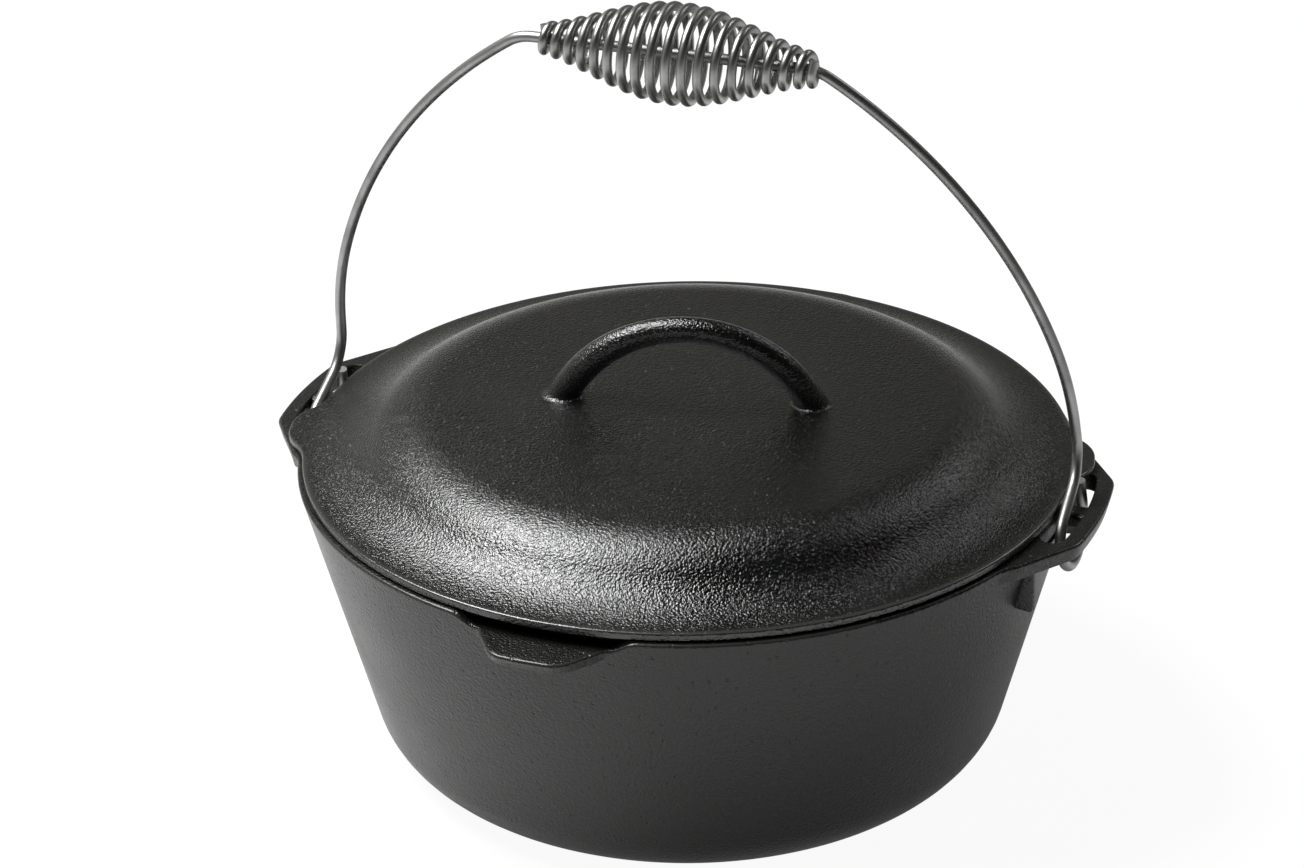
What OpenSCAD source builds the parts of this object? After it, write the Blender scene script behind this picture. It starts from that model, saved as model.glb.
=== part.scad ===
// Cast iron pot with a domed lid and a wire bail that carries a spindle coil grip.
// Millimetres, Z up, the base on Z = 0, the ears along X, a pour tab at -Y and one at +Y.

/* [Pot] */
// outer radius at the rim
rim_r = 156; // [140:0.5:180]
// height of the rim above the floor
pot_height = 124; // [100:1:150]
// lean of the wall away from upright, in degrees
wall_lean = 14.5; // [8:0.5:20]
// radius of the rounded corner between wall and base
base_corner_r = 28.6; // [20:0.2:40]
// thickness of wall and base
pot_wall = 5; // [3:0.1:6]
// small bevel on the rim's outer edge
rim_bevel = 1; // [0.5:0.1:1.5]

/* [Ears] */
// reach of an ear beyond the rim
ear_reach = 14; // [12:0.1:20]
// thickness of an ear, down from the rim
ear_thick = 7; // [5:0.5:9]
// radius of an ear's outer corners
ear_corner_r = 12; // [6:0.5:14]
// place of a corner's centre, in degrees from the ear's middle
ear_corner_a = 8.3; // [7.5:0.1:10]
// direction of an ear's side, in degrees from its middle
ear_side_a = 36; // [32:1:50]
// radius of the hollow where an ear's side runs into the rim
ear_root_r = 25; // [15:1:30]
// distance of the slot's inner edge inside the rim
slot_inset = 2; // [1:0.1:2.5]
// width of the slot that takes the bail's hook
slot_w = 9; // [8:0.1:9.6]
// place of the slot's rounded end, in degrees from the ear's middle
slot_end_a = 9; // [8.5:0.1:9.5]
// diameter of the bar across the slot, the hook's pivot
bridge_d = 10; // [8:0.5:11]
// how far that bar runs into the wall and the ear
bridge_bite = 2; // [1:0.1:3]
// place of the ribs under an ear, in degrees from its middle
rib_a = 12.4; // [12:0.1:14]
// thickness of a rib
rib_thick = 4; // [3:0.5:5]
// depth of a rib's flat lower end below the rim
rib_drop = 29; // [15:1:40]

/* [Pour tabs] */
// reach of a pour tab beyond the wall
tab_reach = 14.6; // [10:0.1:20]
// thickness of a pour tab
tab_thick = 4.5; // [3:0.1:7]
// depth of a tab's upper face below the rim
tab_drop = 4.1; // [2:0.1:8]
// turn of the tabs off the line across the ears
tab_turn = -1.1; // [-5:0.1:5]
// radius of a tab's corners
tab_corner_r = 11.4; // [6:0.1:13]
// place of a corner's centre, in degrees from the tab's middle
tab_corner_a = 2.9; // [2:0.1:5]
// direction of a tab's side, in degrees from its middle
tab_side_a = 54.7; // [45:0.1:65]
// radius of the hollow where a tab's side runs into the wall
tab_root_r = 8.3; // [5:0.1:20]
// run of the sloping ends of the spout that dips into the rim above a tab
spout_ramp = 10; // [2:0.5:12]
// how far those sloping ends run past the tab's roots
spout_flare = 7.4; // [0:0.1:9]

/* [Lid] */
// distance of the lid's edge inside the rim
lid_inset = 2.4; // [1.5:0.1:3]
// thickness of the lid
lid_wall = 4.5; // [3:0.1:6]
// height of the edge's upper corner above the rim
edge_rise = 3.6; // [2.5:0.1:5]
// gap between the edge and the rim
edge_gap = 0.6; // [0.4:0.1:1.2]
// width of that gap, in from the lid's edge
edge_gap_w = 1.2; // [0.5:0.1:2]
// height of the flat top above the rim
dome_rise = 22.3; // [16:0.1:30]
// width of the sloping band between the flat top and the edge
band_w = 52; // [45:0.5:65]
// radius of the band's round upper part
shoulder_bend_r = 38; // [25:1:45]
// reach of the lid's two lips beyond its edge
lip_reach = 8; // [5:0.2:10]
// radius of a lip's corners
lip_corner_r = 20; // [12:0.5:24]
// place of a corner's centre, in degrees from the lip's middle
lip_corner_a = 0.8; // [0.4:0.1:2]
// direction of a lip's side, in degrees from its middle
lip_side_a = 36; // [30:1:45]
// radius of the hollow where a lip's side runs into the edge
lip_root_r = 30; // [20:1:40]
// turn of the lid on the pot, in degrees
lid_turn = 13.1; // [-20:0.1:20]
// depth below the rim of the ring that centres the lid
ring_depth = 5.5; // [3:0.5:8]
// thickness of that ring
ring_wall = 4; // [3:0.5:5]
// clearance between the ring's lower end and the pot's wall
ring_clear = 1.9; // [1:0.1:3]

/* [Lid handle] */
// radius of the handle's arc
handle_r = 55.8; // [45:0.2:65]
// height of the handle's crown above the lid's top
handle_rise = 36; // [28:0.5:44]
// diameter of the handle's bar
handle_d = 10.8; // [8:0.2:14]

/* [Bail] */
// diameter of the bail wire
bail_d = 4.3; // [3:0.1:5]
// lean of the bail from upright toward the front, in degrees
bail_lean = 10.9; // [0:0.1:20]
// radius of the bend beside the grip
crook_r = 18; // [16:1:24]
// turn of that bend, in degrees
crook_a = 33.7; // [31:0.1:37]
// radius of the long upper bow
bow_r = 212; // [200:1:224]
// turn of that bow, in degrees
bow_a = 37.3; // [34:0.1:40]
// radius of the lower bow
leg_r = 152; // [140:1:165]
// final slope of the legs, in degrees below level
leg_a = 85; // [82:0.5:88]
// straight run from the lower bow to the knee
leg_run = 7; // [5:0.5:9]
// radius of the knee above the hook
knee_r = 16; // [12:0.5:20]
// turn of the knee, in degrees
knee_a = 76; // [70:1:80]
// straight run from the knee across the pivot
cross_run = 16; // [13:0.5:18]
// radius of the hook's first corner
corner_r = 9; // [7:0.5:11]
// radius of the hook's bow
hook_r = 16.2; // [15:0.1:18]
// straight tip of the hook
tip_run = 9; // [5:0.5:12]
// distance of the hook inside the slot's middle
hook_inset = 0.7; // [0.3:0.1:1]
// distance of the hook's middle in front of the pivot
hook_fore = 1.5; // [0:0.1:2]
// distance of the hook's middle below the pivot
hook_drop = 2.3; // [0:0.1:4]

/* [Coil grip] */
// diameter of the grip's wire
coil_d = 3.8; // [3:0.1:4.4]
// mean pitch of the turns
coil_pitch = 5.89; // [5.6:0.01:8]
// outer radius of the grip's waist
coil_waist_r = 19.6; // [14:0.2:22]
// clearance between the left end turn and the bail wire
coil_clear = 0.5; // [0.3:0.1:1]
// clearance between the right end turn, which reaches over the bend, and the bail wire
coil_over_clear = 1.1; // [1.1:0.1:1.6]
// free run of the bail's straight top beside the left end turn
coil_free = 3.8; // [1:0.1:8]
// how far the right end turn reaches over the bend
coil_over = 4.6; // [0:0.1:4.6]

/* [Hidden] */
$fn = 96;
iron = [0.16, 0.16, 0.155];
steel = [0.42, 0.43, 0.44];

// how far a cut runs past the face that it opens
through = 1;

// pot: the base's flat radius, the pivot's height, the slot's radii and the wall's radius at a tab
flat_r = rim_r - (pot_height - base_corner_r * (1 - sin(wall_lean))) * tan(wall_lean)
         - base_corner_r * cos(wall_lean);
pivot_z = pot_height - ear_thick / 2;
ear_r = rim_r + ear_reach;
slot_in_r = rim_r - slot_inset;
slot_out_r = slot_in_r + slot_w;
slot_mid_r = slot_in_r + slot_w / 2;
tab_base_r = rim_r - tab_drop * tan(wall_lean);

// hair's breadth between the lid's seat and the rim, so that the two faces stay apart
seat_play = 0.02;

// lid: heights, the two tangent arcs of the band, the centring ring and the handle's feet
lid_r = rim_r - lid_inset;
edge_top = pot_height + edge_rise;
dome_top = pot_height + dome_rise;
shoulder_r = lid_r - band_w;
band_a = 2 * atan((dome_top - edge_top) / band_w);
skirt_bend_r = band_w / sin(band_a) - shoulder_bend_r;
ring_r = rim_r - pot_wall / cos(wall_lean) - ring_depth * tan(wall_lean) - ring_clear;
hollow_r = ring_r - ring_wall;
handle_z = dome_top + handle_rise - handle_r - handle_d / 2;
handle_foot_z = dome_top - lid_wall - handle_d / 4;
handle_foot_a = asin((handle_foot_z - handle_z) / handle_r);

// bail: from the arch's end the hook's middle lies so far along the leg and to the back
hook_along = leg_run + (knee_r + corner_r) * sin(knee_a) + cross_run * cos(knee_a);
hook_back = hook_r - (knee_r + corner_r) * (1 - cos(knee_a)) - cross_run * sin(knee_a);
arch_run = crook_r * sin(crook_a) + bow_r * (sin(crook_a + bow_a) - sin(crook_a))
           + leg_r * (sin(leg_a) - sin(crook_a + bow_a));
arch_drop = crook_r * (1 - cos(crook_a)) + bow_r * (cos(crook_a) - cos(crook_a + bow_a))
            + leg_r * (cos(crook_a + bow_a) - cos(leg_a));
top_half = slot_mid_r - hook_inset - hook_along * cos(leg_a) - arch_run;
bail_rise = arch_drop + hook_along * sin(leg_a) - hook_drop;
bail_offset = -hook_fore - hook_back;

// bail: straight run, bend radius, bend angle and roll of each step of the wire from the middle
bail_steps = [
    [top_half, crook_r, crook_a, 0],
    [0, bow_r, bow_a, 0],
    [0, leg_r, leg_a - crook_a - bow_a, 0],
    [leg_run, knee_r, knee_a, -90],
    [cross_run, corner_r, knee_a, 180],
    [0, hook_r, 180, 0],
    [tip_run, 0, 0, 0]
];
// the wire's slight swell where one bend runs into the next, and the seam inside it
bend_swell = bail_d / 86;
bend_seam = bail_d / 43;

// grip: a six-sided tube along a left-handed spindle, packed closer at its ends
coil_sides = 6;
coil_rings_a_turn = 8;
coil_phase = 250;
coil_end_pack = 0.035;
coil_end_power = 9;
coil_fullness = 1.7;
coil_half = top_half + (coil_over - coil_free) / 2;
coil_shift = (coil_over + coil_free) / 2;
coil_turns = 2 * coil_half / coil_pitch;
coil_rings = round(coil_turns * coil_rings_a_turn);
coil_end_r = bail_d / 2 + coil_clear + coil_d / 2;
coil_over_r = coil_end_r + coil_over_clear - coil_clear;
coil_mid_r = coil_waist_r - coil_d / 2;

function unit(v) = v / norm(v);

// point of the coil's middle line, s from 0 to 1
function coil_at(s) =
    let (t = 2 * s - 1,
         x = coil_half * (t - coil_end_pack * pow(t, coil_end_power)) / (1 - coil_end_pack),
         end_r = coil_end_r + (coil_over_r - coil_end_r) * s,
         r = end_r + (coil_mid_r - end_r) * pow(cos(90 * t), coil_fullness),
         a = coil_phase - 180 * coil_turns * t)
    [x, r * cos(a), r * sin(a)];

// direction of the coil's middle line
function coil_dir(s) =
    let (e = 0.0005)
    unit(coil_at(min(1, s + e)) - coil_at(max(0, s - e)));

// corners of the tube around a point of its middle line
function coil_ring(p, d) =
    let (out = unit([0, p[1], p[2]]),
         n = unit(out - (out * d) * d),
         b = cross(d, n))
    [for (j = [0 : coil_sides - 1])
        p + coil_d / 2 * (cos(360 * j / coil_sides) * n + sin(360 * j / coil_sides) * b)];

// end of the straight side on a tongue's round corner
function tongue_side(tip_r, corner_r, corner_a, side_a) =
    (tip_r - corner_r) * [cos(corner_a), sin(corner_a)] + corner_r * [cos(side_a), sin(side_a)];

// angle from a tongue's middle to the root where its side runs into the base circle
function tongue_root_a(base_r, reach, corner_r, corner_a, side_a, root_r) =
    let (n = [cos(side_a), sin(side_a)],
         t = tongue_side(base_r + reach, corner_r, corner_a, side_a))
    side_a - acos((n * t + root_r) / (base_r + root_r));

// plan of a sector that spreads to both sides of the X axis
module sector(r, a) {
    polygon([[0, 0], r * [cos(a), -sin(a)], r * [cos(a), sin(a)]]);
}

// plan of an ear, tab or lip: round corners at the tip, straight sides, hollow roots on the base circle
module tongue(base_r, reach, corner_r, corner_a, side_a, root_r) {
    tip_r = base_r + reach;
    c = (tip_r - corner_r) * [cos(corner_a), sin(corner_a)];
    n = [cos(side_a), sin(side_a)];
    t = tongue_side(tip_r, corner_r, corner_a, side_a);
    root_a = tongue_root_a(base_r, reach, corner_r, corner_a, side_a, root_r);
    f = (base_r + root_r) * [cos(root_a), sin(root_a)];
    s = f - root_r * n;
    q = base_r * [cos(root_a), sin(root_a)];
    difference() {
        union() {
            polygon([[0, 0], [q[0], -q[1]], [s[0], -s[1]], [t[0], -t[1]], t, s, q]);
            for (k = [-1, 1]) translate([c[0], k * c[1]]) circle(corner_r);
            intersection() {
                circle(tip_r);
                sector(2 * tip_r, corner_a);
            }
        }
        for (k = [-1, 1]) translate([f[0], k * f[1]]) circle(root_r);
    }
}

// half section of the pot, drawn in from its outside
module pot_section(inset, top) {
    lean = [cos(wall_lean), -sin(wall_lean)];
    low = [flat_r, base_corner_r] + (base_corner_r - inset) * lean;
    high_r = rim_r - inset / cos(wall_lean) + (top - pot_height) * tan(wall_lean);
    polygon([[0, inset], [flat_r, inset], low, [high_r, top], [0, top]]);
    translate([flat_r, base_corner_r]) intersection() {
        circle(base_corner_r - inset);
        translate([0, -base_corner_r]) square(base_corner_r);
    }
}

module ear_slot() {
    linear_extrude(ear_thick + 2 * through) {
        intersection() {
            difference() {
                circle(slot_out_r);
                circle(slot_in_r);
            }
            sector(2 * ear_r, slot_end_a);
        }
        for (k = [-1, 1]) rotate([0, 0, k * slot_end_a]) translate([slot_mid_r, 0]) circle(slot_w / 2);
    }
}

module ear() {
    translate([0, 0, pot_height - ear_thick]) linear_extrude(ear_thick)
        tongue(rim_r, ear_reach, ear_corner_r, ear_corner_a, ear_side_a, ear_root_r);
    for (k = [-1, 1])
        rotate([0, 0, k * rib_a]) translate([flat_r, -rib_thick / 2, pot_height - rib_drop])
            cube([rim_r - flat_r, rib_thick, rib_drop - ear_thick / 2]);
}

module bridge() {
    intersection() {
        translate([slot_in_r - bridge_bite, 0, pivot_z]) rotate([0, 90, 0])
            cylinder(d = bridge_d, h = slot_w + 2 * bridge_bite);
        translate([0, -bridge_d, pot_height - ear_thick]) cube([ear_r, 2 * bridge_d, ear_thick]);
    }
}

// what the spout above a tab takes from the rim, with its ends sloping up past the tab's roots
module spout() {
    root_a = tongue_root_a(tab_base_r, tab_reach, tab_corner_r, tab_corner_a, tab_side_a, tab_root_r);
    half = tab_base_r * sin(root_a) + spout_flare;
    slope = spout_ramp / tab_drop;
    high = half + through * slope;
    low = half - spout_ramp;
    translate([0, 0, pot_height]) rotate([90, 0, 90]) linear_extrude(rim_r + tab_reach)
        polygon([[-low, -tab_drop], [low, -tab_drop], [high, through], [-high, through]]);
}

module pot() {
    color(iron) union() {
        difference() {
            union() {
                rotate_extrude() difference() {
                    pot_section(0, pot_height);
                    translate([rim_r, pot_height]) rotate([0, 0, 45])
                        square(rim_bevel * sqrt(2), center = true);
                }
                for (a = [0, 180]) rotate([0, 0, a]) ear();
                for (a = [-90, 90])
                    rotate([0, 0, a + tab_turn]) translate([0, 0, pot_height - tab_drop - tab_thick])
                        linear_extrude(tab_thick)
                            tongue(tab_base_r, tab_reach, tab_corner_r, tab_corner_a, tab_side_a, tab_root_r);
            }
            rotate_extrude() pot_section(pot_wall, pot_height + through);
            for (a = [-90, 90]) rotate([0, 0, a + tab_turn]) spout();
            for (a = [0, 180])
                rotate([0, 0, a]) translate([0, 0, pot_height - ear_thick - through]) ear_slot();
        }
        for (a = [0, 180]) rotate([0, 0, a]) bridge();
    }
}

// half section of the lid above a given height, drawn in from its upper face
module lid_section(inset, low) {
    turn_r = shoulder_r + (shoulder_bend_r - inset) * sin(band_a);
    turn_z = dome_top - shoulder_bend_r + (shoulder_bend_r - inset) * cos(band_a);
    translate([0, low]) square([shoulder_r, dome_top - inset - low]);
    intersection() {
        translate([shoulder_r, dome_top - shoulder_bend_r]) circle(shoulder_bend_r - inset);
        translate([shoulder_r, low]) square([turn_r - shoulder_r, dome_top - low]);
    }
    difference() {
        translate([turn_r, low]) square([lid_r - turn_r, turn_z - low]);
        translate([lid_r, edge_top + skirt_bend_r]) circle(skirt_bend_r + inset);
    }
}

module handle() {
    translate([0, 0, handle_z]) rotate([90, 0, 0]) rotate([0, 0, handle_foot_a])
        rotate_extrude(angle = 180 - 2 * handle_foot_a) translate([handle_r, 0]) circle(d = handle_d);
}

module lid() {
    color(iron) rotate([0, 0, lid_turn]) {
        difference() {
            union() {
                rotate_extrude() difference() {
                    lid_section(0, pot_height + seat_play);
                    translate([lid_r - edge_gap_w, pot_height - through]) square([lid_r, edge_gap + through]);
                }
                for (a = [0, 180])
                    rotate([0, 0, a]) translate([0, 0, pot_height + edge_gap])
                        linear_extrude(edge_rise - edge_gap)
                            tongue(lid_r, lip_reach, lip_corner_r, lip_corner_a, lip_side_a, lip_root_r);
                handle();
            }
            rotate_extrude() intersection() {
                lid_section(lid_wall, pot_height - dome_rise);
                square([hollow_r, dome_top]);
            }
        }
        translate([0, 0, pot_height - ring_depth]) difference() {
            cylinder(r = ring_r, h = ring_depth + edge_gap);
            translate([0, 0, -through]) cylinder(r = hollow_r, h = ring_depth + edge_gap + 2 * through);
        }
    }
}

// the wire from one step to its end: each step starts where the one before it ended
module wire_run(steps, i) {
    run = steps[i][0];
    r = steps[i][1];
    a = steps[i][2];
    rotate([0, 0, steps[i][3]]) {
        if (run > 0) cylinder(d = bail_d, h = run);
        if (i + 1 < len(steps)) translate([0, 0, run]) {
            translate([r, 0, 0]) rotate([90, 0, 180])
                rotate_extrude(angle = a) translate([r, 0]) circle(d = bail_d);
            translate([r, 0, 0]) rotate([0, a, 0]) translate([-r, 0, 0]) {
                sphere(d = bail_d + 2 * bend_swell);
                translate([0, 0, bend_seam]) wire_run(steps, i + 1);
            }
        }
    }
}

module bail_half() {
    translate([0, bail_offset, bail_rise]) rotate([0, 90, 0]) wire_run(bail_steps, 0);
}

module bail() {
    color(steel) translate([0, 0, pivot_z]) rotate([bail_lean, 0, 0]) {
        bail_half();
        mirror([1, 0, 0]) bail_half();
    }
}

module grip() {
    turns = [for (i = [0 : coil_rings]) coil_ring(coil_at(i / coil_rings), coil_dir(i / coil_rings))];
    first = coil_ring(coil_at(0) - coil_d * coil_dir(0), coil_dir(0));
    last = coil_ring(coil_at(1) + coil_d * coil_dir(1), coil_dir(1));
    rings = concat([first], turns, [last]);
    points = [for (ring = rings) for (p = ring) p];
    n = coil_sides;
    m = len(rings);
    sides = [for (i = [0 : m - 2]) for (j = [0 : n - 1])
        let (a = i * n + j, b = i * n + (j + 1) % n)
        each [[a, a + n, b], [b, a + n, b + n]]];
    ends = concat([for (j = [1 : n - 2]) [0, j, j + 1]],
                  [for (j = [1 : n - 2]) [(m - 1) * n, (m - 1) * n + j + 1, (m - 1) * n + j]]);
    color(steel) translate([0, 0, pivot_z]) rotate([bail_lean, 0, 0])
        translate([coil_shift, bail_offset, bail_rise]) polyhedron(points, concat(sides, ends));
}

// least gap between turns, measured on points of the tube's middle line
coil_marks = [for (i = [0 : coil_rings]) coil_at(i / coil_rings)];
half_turn = coil_rings_a_turn / 2;
coil_gap = min([for (i = [0 : coil_rings - half_turn - 1]) for (j = [i + half_turn + 1 : coil_rings])
    norm(coil_marks[i] - coil_marks[j])]) - coil_d;
echo(coil_gap = coil_gap);

pot();
lid();
bail();
grip();
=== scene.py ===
"""Looks of a cast iron pot with its lid, wire bail and coiled grip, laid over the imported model."""

import math

import bmesh
import bpy
from bpy.props import FloatProperty, FloatVectorProperty, IntProperty, PointerProperty
from mathutils import Matrix, Vector


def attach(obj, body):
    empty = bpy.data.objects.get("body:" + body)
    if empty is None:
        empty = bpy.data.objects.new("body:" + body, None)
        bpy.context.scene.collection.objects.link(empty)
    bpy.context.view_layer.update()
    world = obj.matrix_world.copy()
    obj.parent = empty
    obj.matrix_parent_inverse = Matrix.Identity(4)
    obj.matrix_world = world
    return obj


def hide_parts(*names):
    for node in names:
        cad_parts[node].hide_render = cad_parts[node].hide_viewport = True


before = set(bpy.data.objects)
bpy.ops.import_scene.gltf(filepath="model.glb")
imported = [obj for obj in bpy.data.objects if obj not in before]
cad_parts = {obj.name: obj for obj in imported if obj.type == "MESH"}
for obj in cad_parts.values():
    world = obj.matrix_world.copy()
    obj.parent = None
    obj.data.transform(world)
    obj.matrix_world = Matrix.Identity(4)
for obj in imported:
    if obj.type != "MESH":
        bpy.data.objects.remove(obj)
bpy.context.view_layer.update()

bl_info = {
    "name": "Camp Pot",
    "version": (1, 0, 0),
    "blender": (4, 5, 0),
    "location": "View3D > Sidebar > Camp Pot",
    "description": "Builds a cast iron pot with its lid, bail and coiled grip, and a plain stage",
    "category": "Add Mesh",
}

# photograph's frame and focal length, in pixels
PHOTO_WIDTH = 1304
PHOTO_FOCAL = 3763.67
# sensor's width, in millimetres
SENSOR_WIDTH = 36.0
# rings of a flat middle, as shares of its radius
MIDDLE_RINGS = (0.15, 0.4, 0.7)
# bend of an edge at which rubbing starts, and how much more makes it full, in degrees
RUB_BEND = 15.5
RUB_BEND_BAND = 2.5
# upward part of the normal at which rubbing and its painted highlight start, and how much more makes it
# full
HIGHLIGHT_WEAR_UPWARD = 0.2
HIGHLIGHT_WEAR_UPWARD_BAND = 0.4
# faces of a casting that meet at more than this stay sharp
CAST_CREASE = math.radians(38)
# node tree that both wires share
WIRE_TREE = "Wire along a path"


def linear(code):
    """Linear colour of an sRGB hex value."""
    parts = [int(code[i:i + 2], 16) / 255 for i in (1, 3, 5)]
    return tuple(p / 12.92 if p <= 0.04045 else ((p + 0.055) / 1.055) ** 2.4 for p in parts)


def length(name, description, default):
    """Property for a length in metres."""
    return FloatProperty(name=name, description=description, default=default, unit="LENGTH", precision=4)


def angle(name, description, degrees):
    """Property for an angle, given here in degrees."""
    return FloatProperty(name=name, description=description, default=math.radians(degrees),
                         subtype="ANGLE")


def colour(name, description, code):
    """Property for a colour, given here as an sRGB hex value."""
    return FloatVectorProperty(name=name, description=description, default=linear(code), subtype="COLOR",
                               min=0.0, max=1.0)


def power(name, description, watts):
    """Property for the power of a lamp."""
    return FloatProperty(name=name, description=description, default=watts, unit="POWER")


class PotSizes(bpy.types.PropertyGroup):
    """Sizes of the pot with its ears and pour tabs"""
    rim_r: length("Rim radius", "Outside radius of the rim", 0.156)
    height: length("Height", "Height of the rim above the table", 0.124)
    wall: length("Wall", "Thickness of the wall and bottom", 0.005)
    lean: angle("Wall lean", "Lean of the wall from upright", 14.5)
    corner_r: length("Base corner", "Outside radius between the bottom and the wall", 0.0286)
    edge: length("Edge", "Rounding of the cast edges", 0.0011)
    ear_reach: length("Ear reach", "How far an ear stands out from the rim", 0.014)
    ear_thick: length("Ear thickness", "Thickness of an ear", 0.007)
    ear_corner_r: length("Ear corner", "Radius of an ear's corners", 0.012)
    ear_corner_a: angle("Ear corner angle", "Angle from an ear's middle to its corner's centre", 8.3)
    ear_side_a: angle("Ear side angle", "Turn of an ear's side from its middle line", 36)
    ear_root_r: length("Ear root", "Radius where an ear runs into the rim", 0.025)
    draft: length("Draft", "How far the lower edge of an ear or tab lies in from the upper one", 0.0012)
    slot_w: length("Slot width", "Width of the bail slot in an ear", 0.009)
    slot_mid_r: length("Slot radius", "Radius of the slot's middle line", 0.1585)
    slot_end_a: angle("Slot half angle", "Angle from a slot's middle to its end's centre", 9)
    bridge_w: length("Bridge width", "Width of the bar that crosses a slot", 0.010)
    rib_a: angle("Rib angle", "Angle from an ear's middle to a rib under it", 12.4)
    rib_thick: length("Rib thickness", "Thickness of a rib", 0.004)
    rib_drop: length("Rib drop", "How far a rib reaches below the rim", 0.029)
    tab_reach: length("Tab reach", "How far a pour tab stands out from the wall", 0.0146)
    tab_thick: length("Tab thickness", "Thickness of a pour tab", 0.0045)
    tab_drop: length("Tab drop", "How far a tab's upper face lies below the rim", 0.0041)
    tab_turn: angle("Tab turn", "Turn of the tabs off the line across the ears", -1.1)
    tab_corner_r: length("Tab corner", "Radius of a tab's corners", 0.0114)
    tab_corner_a: angle("Tab corner angle", "Angle from a tab's middle to its corner's centre", 2.9)
    tab_side_a: angle("Tab side angle", "Turn of a tab's side from its middle line", 54.7)
    tab_root_r: length("Tab root", "Radius where a tab runs into the wall", 0.0083)
    spout_half: length("Spout half width", "From a spout's middle to the end of its dip", 0.0365)
    spout_ramp: length("Spout ramp", "Run of the sloping ends of that dip in the rim", 0.010)


class LidSizes(bpy.types.PropertyGroup):
    """Sizes of the lid with its lips and handle"""
    radius: length("Radius", "Radius of the lid's edge", 0.1536)
    wall: length("Wall", "Thickness of the lid", 0.0045)
    edge_top: length("Edge height", "Height of the upper face at the edge", 0.1276)
    edge_low: length("Edge underside", "Height of the underside at the edge", 0.1246)
    dome_top: length("Top height", "Height of the flat top", 0.1463)
    shoulder_r: length("Flat radius", "Radius of the flat top", 0.1016)
    shoulder_bend_r: length("Shoulder bend", "Radius of the bend from the flat top down", 0.038)
    edge: length("Edge rounding", "Rounding of the edge", 0.0008)
    turn: angle("Turn", "Turn of the lid on the pot", 13.1)
    lip_reach: length("Lip reach", "How far a lip stands out from the edge", 0.008)
    lip_corner_r: length("Lip corner", "Radius of a lip's corners", 0.020)
    lip_corner_a: angle("Lip corner angle", "Angle from a lip's middle to its corner's centre", 0.8)
    lip_side_a: angle("Lip side angle", "Turn of a lip's side from its middle line", 36)
    lip_root_r: length("Lip root", "Radius where a lip runs into the edge", 0.030)
    ring_r: length("Ring radius", "Outside radius of the ring under the lid", 0.1475)
    ring_wall: length("Ring wall", "Thickness of the ring", 0.004)
    ring_depth: length("Ring depth", "How far the ring reaches into the pot", 0.0055)
    seat_r: length("Seat radius", "Outside radius of the face that rests on the rim", 0.1524)
    handle_r: length("Handle radius", "Radius of the handle's arch", 0.0558)
    handle_z: length("Handle centre", "Height of the centre of the handle's arch", 0.1211)
    crown_r: length("Handle crown", "Section radius at the middle of the handle", 0.0052)
    foot_r: length("Handle foot", "Section radius at the handle's feet", 0.0062)
    foot_fillet: length("Foot fillet", "Radius between a foot and the lid", 0.002)


class WireSizes(bpy.types.PropertyGroup):
    """Sizes of the bail and of the coil that turns on it"""
    bail_d: length("Bail wire", "Diameter of the bail's wire", 0.0043)
    pivot_z: length("Pivot height", "Height of the line that the bail swings about", 0.1205)
    bail_lean: angle("Bail lean", "Turn of the bail about that line", 10.9)
    bail_offset: length("Bail offset", "Place of the bail's plane across that line", 0.016777)
    bail_rise: length("Bail rise", "Height of the grip's straight above that line", 0.179312)
    top_half: length("Half straight", "Half of the straight that carries the grip", 0.054226)
    coil_d: length("Coil wire", "Diameter of the coil's wire", 0.0038)
    coil_half: length("Coil half length", "Half of the coil's length", 0.054626)
    coil_shift: length("Coil place", "Place of the coil's middle along the straight", 0.0042)
    coil_end_r: length("Coil end", "Radius of the coil's middle line at its left end", 0.00455)
    coil_over_r: length("Coil other end", "Radius at its right end, over the bend", 0.00515)
    coil_mid_r: length("Coil middle", "Radius of the coil's middle line at its middle", 0.0177)
    coil_turns: FloatProperty(name="Coil turns", description="Turns from end to end", default=18.5486)
    wire_sides: IntProperty(name="Wire sides", description="Flats round a wire's section", default=16,
                            min=6)


class Finishes(bpy.types.PropertyGroup):
    """Colours of the materials"""
    lid_iron: colour("Lid iron", "Seasoned iron of the lid", "#0a0a09")
    pot_iron: colour("Pot iron", "Seasoned iron of the pot", "#161614")
    # grey of rubbed edges, which on up-facing edges is also a painted highlight
    bare_iron_highlight: colour("Bare iron", "Iron where its edges are rubbed", "#3c3c3a")
    bail_steel: colour("Bail steel", "Bright drawn wire", "#b0b1b0")
    grip_steel: colour("Grip steel", "Wound spring wire", "#b4b4b1")
    floor: colour("Floor", "Paper under the pot", "#f4f4f4")


class StageSizes(bpy.types.PropertyGroup):
    """Place of the camera and strength of the light"""
    azimuth: angle("Azimuth", "Turn of the camera round the pot", 20.6)
    elevation: angle("Elevation", "Height of the camera above the horizon", 27.0207)
    roll: angle("Roll", "Turn of the camera about its own axis", -1.01987)
    distance: length("Distance", "Distance from the camera to what it looks at", 1.501)
    aim_side: length("Aim sideways", "Place across the view that the camera looks at", -0.0142613)
    aim_height: length("Aim height", "Height that the camera looks at", 0.1311749)
    key: power("Key light", "Power of the large soft light", 28)
    side: power("Side light", "Power of the small soft light", 1.4)
    room: FloatProperty(name="Room light", description="Strength of the pale wall on the left",
                        default=0.6)


class CampPot(bpy.types.PropertyGroup):
    """All sizes and colours"""
    pot: PointerProperty(type=PotSizes)
    lid: PointerProperty(type=LidSizes)
    wire: PointerProperty(type=WireSizes)
    finish: PointerProperty(type=Finishes)
    stage: PointerProperty(type=StageSizes)


# Profiles and outlines

def arc(centre, radius, start, end, steps):
    """Points of an arc of a profile."""
    turns = [start + (end - start) * i / steps for i in range(steps + 1)]
    return [(centre[0] + radius * math.cos(t), centre[1] + radius * math.sin(t)) for t in turns]


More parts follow.
